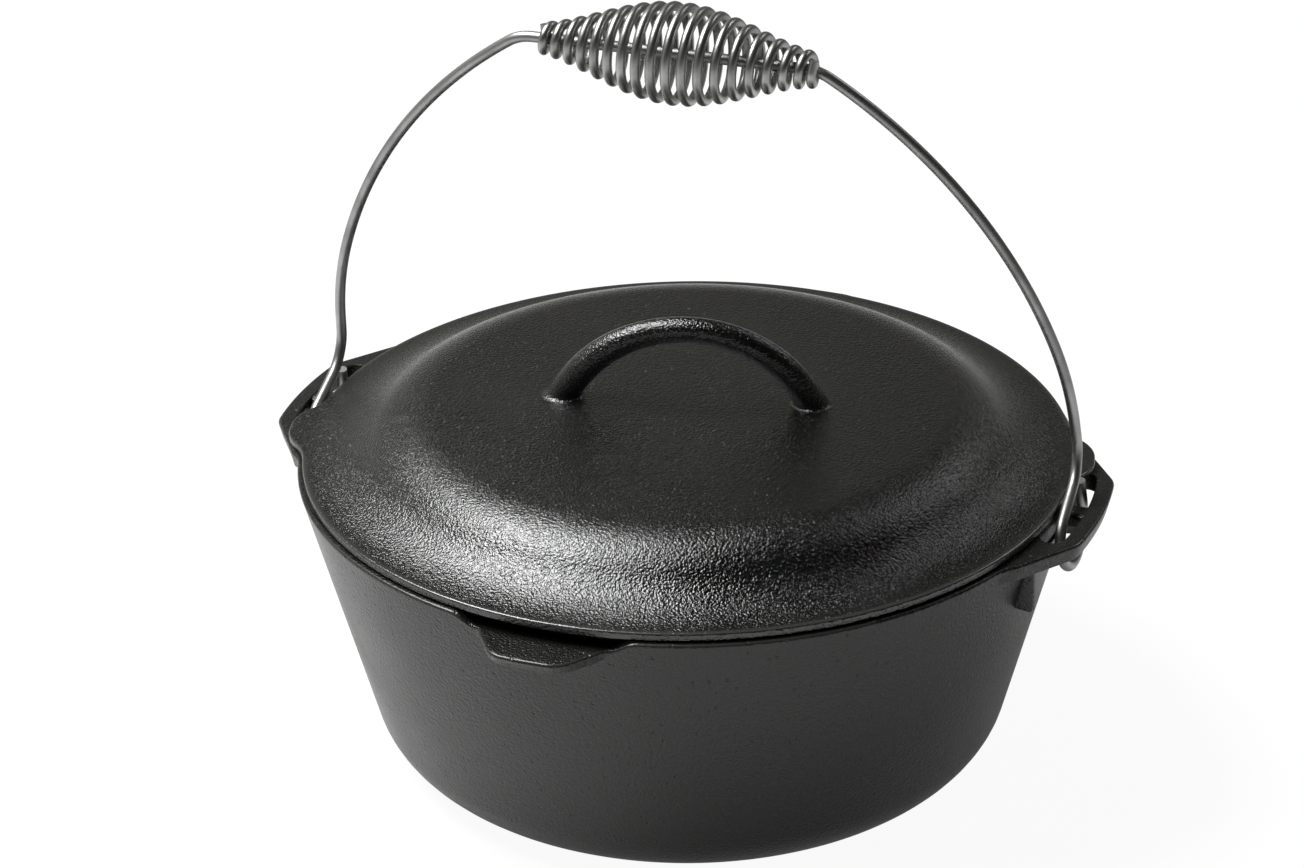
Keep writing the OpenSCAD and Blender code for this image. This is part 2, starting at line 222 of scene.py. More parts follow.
def run(start, end, steps):
    """Points of a straight line of a profile, without its first."""
    return [tuple(a + (b - a) * i / steps for a, b in zip(start, end)) for i in range(1, steps + 1)]


def flat_middle(radius, z, shares=MIDDLE_RINGS):
    """Points of a flat middle, from the axis outward."""
    return [(0, z)] + [(radius * k, z) for k in shares]


def at_turn(turn, r, off, z):
    """Point at a radius and an offset across it, turned about the Z axis."""
    return (r * math.cos(turn) - off * math.sin(turn), r * math.sin(turn) + off * math.cos(turn), z)


def smooth(value):
    """Soft step from 0 to 1."""
    value = min(1.0, max(0.0, value))
    return value * value * (3 - 2 * value)


def tongue(turn, base_r, reach, corner_r, corner_a, side_a, root_r):
    """Radius of the outline of an ear, tab or lip, at an angle from its middle."""
    turn = abs(turn)
    tip_r = base_r + reach
    mid_r = tip_r - corner_r
    side = Vector((math.cos(side_a), math.sin(side_a)))
    touch = mid_r * Vector((math.cos(corner_a), math.sin(corner_a))) + corner_r * side
    away = touch.dot(side)
    root_mid_r = base_r + root_r
    root_a = side_a - math.acos((away + root_r) / root_mid_r)
    foot = root_mid_r * Vector((math.cos(root_a), math.sin(root_a))) - root_r * side
    if turn <= corner_a:
        return tip_r
    if turn <= math.atan2(touch.y, touch.x):
        off = turn - corner_a
        return mid_r * math.cos(off) + math.sqrt(corner_r ** 2 - (mid_r * math.sin(off)) ** 2)
    if turn <= math.atan2(foot.y, foot.x):
        return away / math.cos(turn - side_a)
    if turn < root_a:
        off = turn - root_a
        return root_mid_r * math.cos(off) - math.sqrt(root_r ** 2 - (root_mid_r * math.sin(off)) ** 2)
    return base_r


def off_middle(turn, middle):
    """Signed angle from a middle line, between -pi and pi."""
    return (turn - middle + math.pi) % (2 * math.pi) - math.pi


def columns(middles, half_span, fine, coarse):
    """Angles round the axis, in fine steps near each middle; the steps are in quarter degrees."""
    turns = []
    quarters = 0
    while quarters < 4 * 360:
        turn = math.radians(quarters / 4)
        turns.append(turn)
        near = any(abs(off_middle(turn, m)) <= half_span for m in middles)
        quarters += fine if near else coarse
    return turns


def turned(mesh, turns, section):
    """Adds a closed shell round the Z axis, whose sections start and end on the axis."""
    sections = [section(turn) for turn in turns]
    first = mesh.verts.new((0, 0, sections[0][0][1]))
    last = mesh.verts.new((0, 0, sections[0][-1][1]))
    rows = [[mesh.verts.new((r * math.cos(t), r * math.sin(t), z)) for r, z in points[1:-1]]
            for t, points in zip(turns, sections)]
    for here, there in zip(rows, rows[1:] + rows[:1]):
        mesh.faces.new((first, here[0], there[0]))
        for i in range(len(here) - 1):
            mesh.faces.new((here[i], here[i + 1], there[i + 1], there[i]))
        mesh.faces.new((last, there[-1], here[-1]))


def skin(mesh, rings):
    """Adds a closed tube through rings of points, with its two ends filled."""
    rows = [[mesh.verts.new(p) for p in ring] for ring in rings]
    count = len(rows[0])
    for here, there in zip(rows, rows[1:]):
        for i in range(count):
            j = (i + 1) % count
            mesh.faces.new((here[i], here[j], there[j], there[i]))
    mesh.faces.new(rows[0][::-1])
    mesh.faces.new(rows[-1])


def piece(name, mesh, sharp=None):
    """Object made of the mesh, smooth apart from edges sharper than an angle."""
    bmesh.ops.recalc_face_normals(mesh, faces=mesh.faces[:])
    data = bpy.data.meshes.new(name)
    mesh.to_mesh(data)
    mesh.free()
    data.polygons.foreach_set("use_smooth", [True] * len(data.polygons))
    if sharp is not None:
        data.set_sharp_from_angle(angle=sharp)
    made = bpy.data.objects.new(name, data)
    bpy.context.scene.collection.objects.link(made)
    return made


def note_wear_highlight(made, bared):
    """Notes how far each point of a casting is rubbed, which also paints a highlight: its sharp upper
    edges are, where they lie exposed.
    """
    mesh = bmesh.new()
    mesh.from_mesh(made.data)
    wear_and_highlight = mesh.verts.layers.float.new("wear_and_highlight")
    for point in mesh.verts:
        bend = max(edge.calc_face_angle_signed(0.0) for edge in point.link_edges)
        sharp = smooth((math.degrees(bend) - RUB_BEND) / RUB_BEND_BAND)
        upper = smooth((point.normal.z - HIGHLIGHT_WEAR_UPWARD) / HIGHLIGHT_WEAR_UPWARD_BAND)
        point[wear_and_highlight] = sharp * upper if bared(point.co) else 0.0
    mesh.to_mesh(made.data)
    mesh.free()


def as_mesh(made):
    """Swaps an object's mesh for the result of its modifiers and removes them."""
    bpy.context.view_layer.update()
    depsgraph = bpy.context.evaluated_depsgraph_get()
    data = bpy.data.meshes.new_from_object(made.evaluated_get(depsgraph))
    made.modifiers.clear()
    made.data = data


def dress(made, material, body):
    """Gives a finished piece its material and its place in the frame."""
    made.data.materials.clear()
    made.data.materials.append(material)
    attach(made, body)
    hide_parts(body)


# Materials and node trees

def add(tree, kind, inputs=None, **settings):
    """Adds a node with its settings; each input is a value or the socket that feeds it."""
    made = tree.nodes.new(kind)
    for name, value in settings.items():
        setattr(made, name, value)
    for key, value in (inputs or {}).items():
        if isinstance(value, bpy.types.NodeSocket):
            tree.links.new(value, made.inputs[key])
        else:
            made.inputs[key].default_value = value
    return made


def blank(name):
    """New material with an empty tree."""
    material = bpy.data.materials.new(name)
    material.use_nodes = True
    material.node_tree.nodes.clear()
    return material


def remap(tree, value, given, wanted):
    """Socket with a value moved from the given span to the wanted one."""
    moved = add(tree, "ShaderNodeMapRange", {"Value": value, "From Min": given[0], "From Max": given[1],
                                             "To Min": wanted[0], "To Max": wanted[1]})
    return moved.outputs["Result"]


def shaded(tree, value, stops):
    """Socket with a colour that runs between two, each reached at its own value."""
    ramp = add(tree, "ShaderNodeValToRGB", {"Fac": value})
    for element, (reached, tint) in zip(ramp.color_ramp.elements, stops):
        element.position = reached
        element.color = (*tint, 1)
    return ramp.outputs["Color"]


def seasoned_iron(name, base, rubbed_highlight, pebble, relief, pitting, low_rough, high_rough, ior):
    """Sand-cast iron under baked oil: near-black satin over the print of sand, rubbed at its edges, with
    a painted highlight there.
    """
    oil_spread = 0.045
    pit_spacing = 0.0042
    pit_depth = 0.0003
    rubbed_rough = 0.24
    thick_oil = [c * 0.8 for c in base]
    thin_oil = [c * 1.25 for c in base]
    material = blank(name)
    tree = material.node_tree
    place = add(tree, "ShaderNodeTexCoord").outputs["Object"]
    wear_and_highlight = add(tree, "ShaderNodeAttribute", attribute_name="wear_and_highlight").outputs["Fac"]
    # print of the moulding sand, drawn a little coarser than the grains so that it shows
    sand = add(tree, "ShaderNodeTexNoise", {"Vector": place, "Scale": 1 / pebble, "Detail": 1.5,
                                            "Roughness": 0.6}).outputs["Fac"]
    # thicker and thinner oil, over a few centimetres
    oil = add(tree, "ShaderNodeTexNoise", {"Vector": place, "Scale": 1 / oil_spread,
                                           "Detail": 3.0}).outputs["Fac"]
    shade = shaded(tree, oil, ((0.3, thick_oil), (0.7, thin_oil)))
    film = remap(tree, oil, (0.3, 0.7), (low_rough, high_rough))
    # pits of under a millimetre, a few millimetres apart
    pits = add(tree, "ShaderNodeTexVoronoi", {"Vector": place, "Scale": 1 / pit_spacing})
    pit = remap(tree, pits.outputs["Distance"], (0.08, 0.2), (0.0, 1.0))
    # edges rubbed down to smooth grey iron, whose lighter grey is also a painted highlight
    tone = add(tree, "ShaderNodeMix", {0: wear_and_highlight, 6: shade, 7: (*rubbed_highlight, 1)}, data_type="RGBA")
    rough = add(tree, "ShaderNodeMix", {0: wear_and_highlight, 2: film, 3: rubbed_rough}, data_type="FLOAT")
    depth = remap(tree, wear_and_highlight, (0.0, 1.0), (0.9, 0.1))
    dimple = add(tree, "ShaderNodeBump", {"Strength": pitting, "Distance": pit_depth, "Height": pit})
    grain = add(tree, "ShaderNodeBump", {"Strength": depth, "Distance": relief, "Height": sand,
                                         "Normal": dimple.outputs["Normal"]})
    skin_shader = add(tree, "ShaderNodeBsdfPrincipled", {
        "Base Color": tone.outputs[2], "Roughness": rough.outputs[0], "IOR": ior,
        "Normal": grain.outputs["Normal"]})
    add(tree, "ShaderNodeOutputMaterial", {"Surface": skin_shader.outputs["BSDF"]})
    return material


def drawn_steel(name, base, low_rough, high_rough):
    """Wire drawn through a die: grey metal with soft dull patches and fine scuffs from handling."""
    patch_size = 0.012
    scuff_size = 0.0006
    scuff_depth = 0.0002
    oxide = [c * 0.7 for c in base]
    material = blank(name)
    tree = material.node_tree
    place = add(tree, "ShaderNodeTexCoord").outputs["Object"]
    # dull oxide in patches of about a centimetre
    dull = add(tree, "ShaderNodeTexNoise", {"Vector": place, "Scale": 1 / patch_size,
                                            "Detail": 4.0}).outputs["Fac"]
    shade = shaded(tree, dull, ((0.3, oxide), (0.65, base)))
    rough = remap(tree, dull, (0.3, 0.7), (high_rough, low_rough))
    # scuffs of about half a millimetre
    scuff = add(tree, "ShaderNodeTexNoise", {"Vector": place, "Scale": 1 / scuff_size,
                                             "Detail": 1.0}).outputs["Fac"]
    mark = add(tree, "ShaderNodeBump", {"Strength": 0.15, "Distance": scuff_depth, "Height": scuff})
    metal = add(tree, "ShaderNodeBsdfPrincipled", {
        "Base Color": shade, "Metallic": 1.0, "Roughness": rough, "Normal": mark.outputs["Normal"]})
    add(tree, "ShaderNodeOutputMaterial", {"Surface": metal.outputs["BSDF"]})
    return material


def wire_tree():
    """Node tree that sweeps a round wire along a path of edges; the path's taper rounds the ends."""
    tree = bpy.data.node_groups.new(WIRE_TREE, "GeometryNodeTree")
    tree.interface.new_socket("Path", in_out="INPUT", socket_type="NodeSocketGeometry")
    tree.interface.new_socket("Wire radius", in_out="INPUT", socket_type="NodeSocketFloat")
    tree.interface.new_socket("Sides", in_out="INPUT", socket_type="NodeSocketInt")
    tree.interface.new_socket("Finish", in_out="INPUT", socket_type="NodeSocketMaterial")
    tree.interface.new_socket("Wire", in_out="OUTPUT", socket_type="NodeSocketGeometry")
    given = add(tree, "NodeGroupInput")
    taper = add(tree, "GeometryNodeInputNamedAttribute", {"Name": "taper"}, data_type="FLOAT")
    path = add(tree, "GeometryNodeMeshToCurve", {"Mesh": given.outputs["Path"]})
    sized = add(tree, "GeometryNodeSetCurveRadius", {"Curve": path.outputs["Curve"],
                                                    "Radius": taper.outputs["Attribute"]})
    section = add(tree, "GeometryNodeCurvePrimitiveCircle", {"Resolution": given.outputs["Sides"],
                                                            "Radius": given.outputs["Wire radius"]})
    swept = add(tree, "GeometryNodeCurveToMesh", {"Curve": sized.outputs["Curve"],
                                                 "Profile Curve": section.outputs["Curve"],
                                                 "Fill Caps": True})
    whole = add(tree, "GeometryNodeRealizeInstances", {"Geometry": swept.outputs["Mesh"]})
    painted = add(tree, "GeometryNodeSetMaterial", {"Geometry": whole.outputs["Geometry"],
                                                   "Material": given.outputs["Finish"]})
    add(tree, "NodeGroupOutput", {"Wire": painted.outputs["Geometry"]})
    return tree


def bail_place(s):
    """Place of the bail's own frame, leaning about the line that it swings on."""
    return Matrix.Translation((0, 0, s.pivot_z)) @ Matrix.Rotation(s.bail_lean, 4, "X")


def wire_piece(name, points, radius, sides, material):
    """Wire swept along points by the node tree, with rounded ends."""
    tip_share = 0.08
    path = bpy.data.meshes.new(name)
    path.from_pydata(points, [(i, i + 1) for i in range(len(points) - 1)], [])
    taper = path.attributes.new("taper", "FLOAT", "POINT")
    spans = [(points[i + 1] - points[i]).length for i in range(len(points) - 1)]
    total = sum(spans)
    gone = 0.0
    for i in range(len(points)):
        left = min(gone, total - gone)
        short = max(0.0, 1 - left / radius)
        taper.data[i].value = max(tip_share, math.sqrt(1 - short * short))
        gone += spans[i] if i < len(spans) else 0.0
    made = bpy.data.objects.new(name, path)
    bpy.context.scene.collection.objects.link(made)
    sweep = made.modifiers.new("Wire", "NODES")
    sweep.node_group = bpy.data.node_groups.get(WIRE_TREE) or wire_tree()
    given = {"Wire radius": radius, "Sides": sides, "Finish": material}
    for item in sweep.node_group.interface.items_tree:
        if item.in_out == "INPUT" and item.name in given:
            sweep[item.identifier] = given[item.name]
    as_mesh(made)
    made.data.polygons.foreach_set("use_smooth", [True] * len(made.data.polygons))
    return made


class CAMPPOT_OT_pot(bpy.types.Operator):
    """Build the pot with its ears, slots, bridges, ribs and pour tabs"""
    bl_idname = "camppot.pot"
    bl_label = "Pot"

    # an ear or tab grows out of the plain rim, and its lower edge draws in, over these reaches
    grow_run = 0.003
    draft_run = 0.008
    # fillet below an ear or tab, and the share of its reach that a fillet may take
    fillet_r = 0.003
    fillet_share = 0.6
    # height from each face of an ear, and growth of the slot's cutter there
    slot_flare = ((-0.0006, 0.0009), (0, 0.0006), (0.0003, 0.00028), (0.0008, 0.00006), (0.0014, 0))
    # bar across a slot: inset of its faces, length in the ear, swell at its ends, power of its rounding
    bar_inset = 0.0003
    bar_bury = 0.002
    bar_swell = 0.12
    bar_power = 0.6
    # rib under an ear: depth in the wall and in the ear, bevel of its foot
    rib_wall_bury = 0.003
    rib_ear_bury = 0.001
    rib_foot = 0.001
    rib_foot_in = 0.0003
    # place across a rib's half thickness, and inset of its outline there
    rib_rounding = ((-1, 0.001), (-0.8, 0.0004), (-0.5, 0), (0.5, 0), (0.8, 0.0004), (1, 0.001))
    # share of an ear's reach that stays dark beside the slot
    ear_dark = 0.7
    # span beside each ear and tab that has finer columns
    fine_span = math.radians(22.5)

    def flange(self, s, wall, out_r, top_z, thick):
        """Edge of an ear or tab, flush with the rim beside it, down to the wall below it."""
        quarter = math.pi / 2
        low_z = top_z - thick
        low_r = out_r - s.draft * smooth((out_r - wall(low_z)) / self.draft_run)
        fillet = min(self.fillet_r, self.fillet_share * (low_r - wall(low_z) - s.edge))
        bend = (wall(low_z - fillet) + fillet / math.cos(s.lean), low_z - fillet)
        points = arc((out_r - s.edge, top_z - s.edge), s.edge, quarter, 0, 4)
        points += run(points[-1], (low_r, low_z + s.edge), 6)[:-1]
        points += arc((low_r - s.edge, low_z + s.edge), s.edge, 0, -quarter, 4)
        points += run(points[-1], (bend[0], low_z), 12)
        points += arc(bend, fillet, quarter, math.pi - s.lean, 13)[1:]
        return points

    def rim_edge(self, s, wall, top_z):
        """Rounded outer edge of the plain rim."""
        edge_z = top_z - s.edge
        return arc((wall(edge_z) - s.edge, edge_z), s.edge, math.pi / 2, -s.lean, 4)

    def section(self, s, turn):
        """Profile from the middle of the inside, over the rim, to the middle of the underside."""
        slope = math.tan(s.lean)
        low = s.corner_r * (1 - math.sin(s.lean))
        flat_r = s.rim_r - (s.height - low) * slope - s.corner_r * math.cos(s.lean)
        bend = (flat_r, s.corner_r)
        quarter = math.pi / 2

        def wall(z, inset=0.0):
            return s.rim_r - (s.height - z) * slope - inset / math.cos(s.lean)

        points = flat_middle(flat_r, s.wall)
        off_ear = off_middle(2 * turn, 0) / 2
        off_tab = off_middle(2 * (turn - s.tab_turn), math.pi) / 2
        top_z = s.height
        if abs(off_ear) < math.pi / 4:
            base_r = s.rim_r
            out_r = tongue(off_ear, base_r, s.ear_reach, s.ear_corner_r, s.ear_corner_a, s.ear_side_a,
                           s.ear_root_r)
            flange = self.flange(s, wall, out_r, top_z, s.ear_thick)
        else:
            base_r = wall(s.height - s.tab_drop)
            aside = base_r * abs(math.sin(off_tab))
            top_z -= s.tab_drop * smooth((s.spout_half - aside) / s.spout_ramp)
            out_r = tongue(off_tab, base_r, s.tab_reach, s.tab_corner_r, s.tab_corner_a, s.tab_side_a,
                           s.tab_root_r)
            flange = self.flange(s, wall, out_r, top_z, s.tab_thick)
        share = smooth((out_r - base_r) / self.grow_run)
        points += arc(bend, s.corner_r - s.wall, -quarter, -s.lean, 10)
        edge_z = top_z - s.edge
        lip_r = wall(edge_z, s.wall)
        points += run(points[-1], (lip_r, edge_z), 12)
        points += arc((lip_r + s.edge, edge_z), s.edge, math.pi, quarter, 4)[1:]
        plain = self.rim_edge(s, wall, top_z)
        plain += run(plain[-1], flange[-1], len(flange) - len(plain))
        edge = [tuple(a + (b - a) * share for a, b in zip(p, f)) for p, f in zip(plain, flange)]
        points += run(points[-1], edge[0], 8)[:-1] + edge
        points += run(points[-1], (wall(low), low), 16)
        points += arc(bend, s.corner_r, -s.lean, -quarter, 14)[1:]
        return points + flat_middle(flat_r, 0)[::-1]

    def slot_cutter(self, s, middle):
        """Rings of a slot's cutter, wider at both faces of the ear so that the edges come out round."""
        low = s.height - s.ear_thick
        levels = [(low + z, grow) for z, grow in self.slot_flare]
        levels += [(s.height - z, grow) for z, grow in reversed(self.slot_flare)]
        rings = []
        for z, grow in levels:
            half = s.slot_w / 2 + grow
            ring = []
            for sign in (1, -1):
                for i in range(17):
                    turn = middle + sign * s.slot_end_a * (i / 8 - 1)
                    ring.append(at_turn(turn, s.slot_mid_r + sign * half, 0, z))
                end = middle + sign * s.slot_end_a
                for i in range(1, 10):
                    swing = end + (0 if sign > 0 else math.pi) + math.pi * i / 10
                    ring.append((s.slot_mid_r * math.cos(end) + half * math.cos(swing),
                                 s.slot_mid_r * math.sin(end) + half * math.sin(swing), z))
            rings.append(ring)
        return rings

    def bridge(self, s, middle):
        """Rings of the rounded bar that crosses a slot."""
        sides = 24
        half_w = s.bridge_w / 2
        half_h = s.ear_thick / 2 - self.bar_inset
        mid_z = s.height - s.ear_thick / 2
        rings = []
        for i in range(13):
            along = i / 6 - 1
            r = s.slot_mid_r + along * (s.slot_w / 2 + self.bar_bury)
            swell = 1 + self.bar_swell * along ** 4
            ring = []
            for j in range(sides):
                t = 2 * math.pi * j / sides
                across = math.copysign(abs(math.cos(t)) ** self.bar_power, math.cos(t)) * half_w * swell
                up = math.copysign(abs(math.sin(t)) ** self.bar_power, math.sin(t)) * half_h
                ring.append(at_turn(middle, r, across, mid_z + up))
            rings.append(ring)
        return rings

    def rib(self, s, turn):
        """Outlines across a rib under an ear, from one face over the rounded edge to the other."""
        foot_z = s.height - s.rib_drop
        top_z = s.height - s.ear_thick + self.rib_ear_bury
        slope = math.tan(s.lean)
        foot_r = s.rim_r - s.rib_drop * slope - self.rib_wall_bury
        top_r = s.rim_r - s.ear_thick * slope - self.rib_wall_bury
        rings = []
        for side, inset in self.rib_rounding:
            face = [
                (foot_r, foot_z + inset),
                (s.rim_r - self.rib_foot - inset, foot_z + inset),
                (s.rim_r - self.rib_foot_in - inset, foot_z + self.rib_foot + inset),
                (s.rim_r - inset, top_z),
                (top_r, top_z),
            ]
            rings.append([at_turn(turn, r, side * s.rib_thick / 2, z) for r, z in face])
        return rings

    def bared(self, s, p):
        """Whether a point lies outside the slot on an ear, or outside the rim on a tab."""
        on_ear = abs(p.x) > abs(p.y)
        return p.xy.length > s.rim_r + (self.ear_dark * s.ear_reach if on_ear else -s.edge)

    def execute(self, context):
        s = context.scene.camp_pot.pot
        middles = [0, math.pi / 2, math.pi, 3 * math.pi / 2]
        body = bmesh.new()
        turned(body, columns(middles, self.fine_span, fine=2, coarse=6),
               lambda turn: self.section(s, turn))
        made = piece("pot_casting", body)
        cut = bmesh.new()
        for middle in (0, math.pi):
            skin(cut, self.slot_cutter(s, middle))
        cutter = piece("slot_cutter", cut)
        slots = made.modifiers.new("Slots", "BOOLEAN")
        slots.operation = "DIFFERENCE"
        slots.solver = "EXACT"
        slots.object = cutter
        as_mesh(made)
        bpy.data.objects.remove(cutter)
        whole = bmesh.new()
        whole.from_mesh(made.data)
        for middle in (0, math.pi):
            skin(whole, self.bridge(s, middle))
            for side in (-1, 1):
                skin(whole, self.rib(s, middle + side * s.rib_a))
        bpy.data.objects.remove(made)
        made = piece("pot_casting", whole, CAST_CREASE)
        note_wear_highlight(made, lambda p: self.bared(s, p))
        tints = context.scene.camp_pot.finish
        iron = seasoned_iron("Seasoned cast iron, pot", tints.pot_iron, tints.bare_iron_highlight,
                             pebble=0.0012, relief=0.0005, pitting=0.9, low_rough=0.28, high_rough=0.38,
                             ior=1.55)
        dress(made, iron, "pot")
        return {"FINISHED"}


class CAMPPOT_OT_lid(bpy.types.Operator):
    """Build the lid with its lips, its ring below and its arched handle"""
    bl_idname = "camppot.lid"
    bl_label = "Lid"

    # rings of the flat top, as shares of its radius
    top_rings = (0.1, 0.25, 0.4, 0.55, 0.7, 0.85)
    # hair's breadth between the seat and the rim
    seat_play = 0.00005
    # heights above the flat top of the rings near a handle's foot
    foot_lifts = (-0.0006, 0, 0.0001, 0.0003, 0.0006, 0.001, 0.0015, 0.002, 0.003, 0.0045, 0.0065, 0.009)
    # height over which the rings turn from level to square with the arch
    level_run = 0.012
    # span beside each lip that has finer columns
    fine_span = math.radians(20)

    def section(self, s, turn, rim_z):
        """Profile from the middle of the top, over the edge, to the middle of the underside."""
        quarter = math.pi / 2
        across = s.radius - s.shoulder_r
        drop = s.dome_top - s.edge_top
        # the convex shoulder and the hollow skirt run into each other at one slope
        band_a = 2 * math.atan2(drop, across)
        skirt_r = across / math.sin(band_a) - s.shoulder_bend_r
        shoulder = (s.shoulder_r, s.dome_top - s.shoulder_bend_r)
        skirt = (s.radius, s.edge_top + skirt_r)
        half_turn = min(abs(off_middle(turn, s.turn)), abs(off_middle(turn, s.turn + math.pi)))
        out_r = tongue(half_turn, s.radius, s.lip_reach, s.lip_corner_r, s.lip_corner_a, s.lip_side_a,
                       s.lip_root_r)
        points = flat_middle(s.shoulder_r, s.dome_top, self.top_rings)
        points += arc(shoulder, s.shoulder_bend_r, quarter, quarter - band_a, 18)
        edge_a = math.asin(s.edge / skirt_r)
        points += arc(skirt, skirt_r, -quarter - band_a, -quarter - edge_a, 18)[1:]
        points += run(points[-1], (out_r - s.edge, s.edge_top), 4)
        points += arc((out_r - s.edge, s.edge_top - s.edge), s.edge, quarter, 0, 5)[1:]
        points += arc((out_r - s.edge / 2, s.edge_low + s.edge / 2), s.edge / 2, 0, -quarter, 4)
        points += run(points[-1], (s.seat_r, s.edge_low), 3)
        seat_z = rim_z + self.seat_play
        points += [(s.seat_r, seat_z), (s.ring_r, seat_z)]
        ring_z = rim_z - s.ring_depth
        hollow_r = s.ring_r - s.ring_wall
        points += run(points[-1], (s.ring_r, ring_z + s.edge), 3)
        points += arc((s.ring_r - s.edge, ring_z + s.edge), s.edge, 0, -quarter, 4)[1:]
        points += arc((hollow_r + s.edge, ring_z + s.edge), s.edge, -quarter, -math.pi, 4)
        under_r = skirt_r + s.wall
        start_a = -quarter - math.asin((s.radius - hollow_r) / under_r)
        points += arc(skirt, under_r, start_a, -quarter - band_a, 10)
        points += arc(shoulder, s.shoulder_bend_r - s.wall, quarter - band_a, quarter, 10)[1:]
        return points + flat_middle(s.shoulder_r, s.dome_top - s.wall)[::-1]

    def handle(self, s):
        """Rings of the arched handle, spread into the lid at its feet."""
        sides = 24
        steps = 44
        rise = [math.asin((s.dome_top + lift - s.handle_z) / s.handle_r) for lift in self.foot_lifts]
        first = rise[-1]
        turns = rise + [first + (math.pi - 2 * first) * i / steps for i in range(1, steps)]
        turns += [math.pi - t for t in reversed(rise)]
        spin = Matrix.Rotation(s.turn, 4, "Z")
        across = Vector((0, 1, 0))
        rings = []
        for t in turns:
            lift = s.handle_z + s.handle_r * math.sin(t) - s.dome_top
            climb = smooth((min(t, math.pi - t) - rise[1]) / (math.pi / 2 - rise[1]))
            radius = s.foot_r + (s.crown_r - s.foot_r) * climb
            near = max(0.0, s.foot_fillet - max(0.0, lift))
            radius += s.foot_fillet - math.sqrt(s.foot_fillet ** 2 - near ** 2)
            level = 1 - smooth(lift / self.level_run)
            middle = Vector((s.handle_r * math.cos(t), 0, s.handle_z + s.handle_r * math.sin(t)))
            out = Vector((math.cos(t), 0, math.sin(t)))
            flat = Vector((1 / math.cos(t), 0, 0)) if level > 0 else out
            out = out.lerp(flat, level)
            ring = []
            for i in range(sides):
                a = 2 * math.pi * i / sides
                ring.append(spin @ (middle + radius * (math.cos(a) * out + math.sin(a) * across)))
            rings.append(ring)
        return rings

    def execute(self, context):
        s = context.scene.camp_pot.lid
        rim_z = context.scene.camp_pot.pot.height
        whole = bmesh.new()
        turned(whole, columns([s.turn, s.turn + math.pi], self.fine_span, fine=2, coarse=5),
               lambda turn: self.section(s, turn, rim_z))
        skin(whole, self.handle(s))
        made = piece("lid_casting", whole, CAST_CREASE)
        note_wear_highlight(made, lambda p: p.xy.length > s.ring_r)
        tints = context.scene.camp_pot.finish
        iron = seasoned_iron("Seasoned cast iron, lid", tints.lid_iron, tints.bare_iron_highlight,
                             pebble=0.001, relief=0.0005, pitting=0.3, low_rough=0.19, high_rough=0.26,
                             ior=1.9)
        dress(made, iron, "lid")
        return {"FINISHED"}


class CAMPPOT_OT_bail(bpy.types.Operator):
    """Bend the bail from one length of wire, from the grip's straight to both hooks"""
    bl_idname = "camppot.bail"
    bl_label = "Bail"

    # each step from the middle: straight run and bend radius in millimetres, bend and roll in degrees
    bends = (
        (0, 18, 33.7, 0),
        (0, 212, 37.3, 0),
        (0, 152, 14, 0),
        (7, 16, 76, -90),
        (16, 9, 76, 180),
        (0, 16.2, 180, 0),
    )
    # straight tip after the last bend, and the short straight between two bends
    tip_run = 0.009
    bend_seam = 0.0001
    # widest spacing of the points on a bend, in degrees and in metres
    bend_step = 2.5
    bend_pitch = 0.003
    # points of the tip, as shares of its length back from its end
    tip_back = (0.5, 0.2, 0.1, 0.06, 0.03, 0.012, 0.0)

    def half(self, s):
        """Points of the wire's middle line from the middle to one tip."""
        at = Matrix.Translation((0, s.bail_offset, s.bail_rise)) @ Matrix.Rotation(math.pi / 2, 4, "Y")
        points = [at.translation.copy()]
        straight = s.top_half
        for step, radius, turn, roll in self.bends:
            r = radius / 1000
            straight += step / 1000
            at = at @ Matrix.Rotation(math.radians(roll), 4, "Z")
            at = at @ Matrix.Translation((0, 0, straight))
            points.append(at.translation.copy())
            bend = math.radians(turn)
            count = max(6, round(turn / self.bend_step), round(r * bend / self.bend_pitch))
            for i in range(1, count + 1):
                t = bend * i / count
                points.append(at @ Vector((r - r * math.cos(t), 0, r * math.sin(t))))
            at = at @ Matrix.Translation((r, 0, 0)) @ Matrix.Rotation(bend, 4, "Y")
            at = at @ Matrix.Translation((-r, 0, 0))
            straight = self.bend_seam
        for back in self.tip_back:
            points.append(at @ Vector((0, 0, (self.tip_run + straight) * (1 - back))))
        return points

    def execute(self, context):
        s = context.scene.camp_pot.wire
        right = self.half(s)
        left = [Vector((-p.x, p.y, p.z)) for p in reversed(right[1:])]
        place = bail_place(s)
        points = [place @ p for p in left + right]
        steel = drawn_steel("Bright drawn steel, bail", context.scene.camp_pot.finish.bail_steel,
                            low_rough=0.36, high_rough=0.48)
        made = wire_piece("bail_wire", points, s.bail_d / 2, s.wire_sides, steel)
        dress(made, steel, "bail")
        return {"FINISHED"}


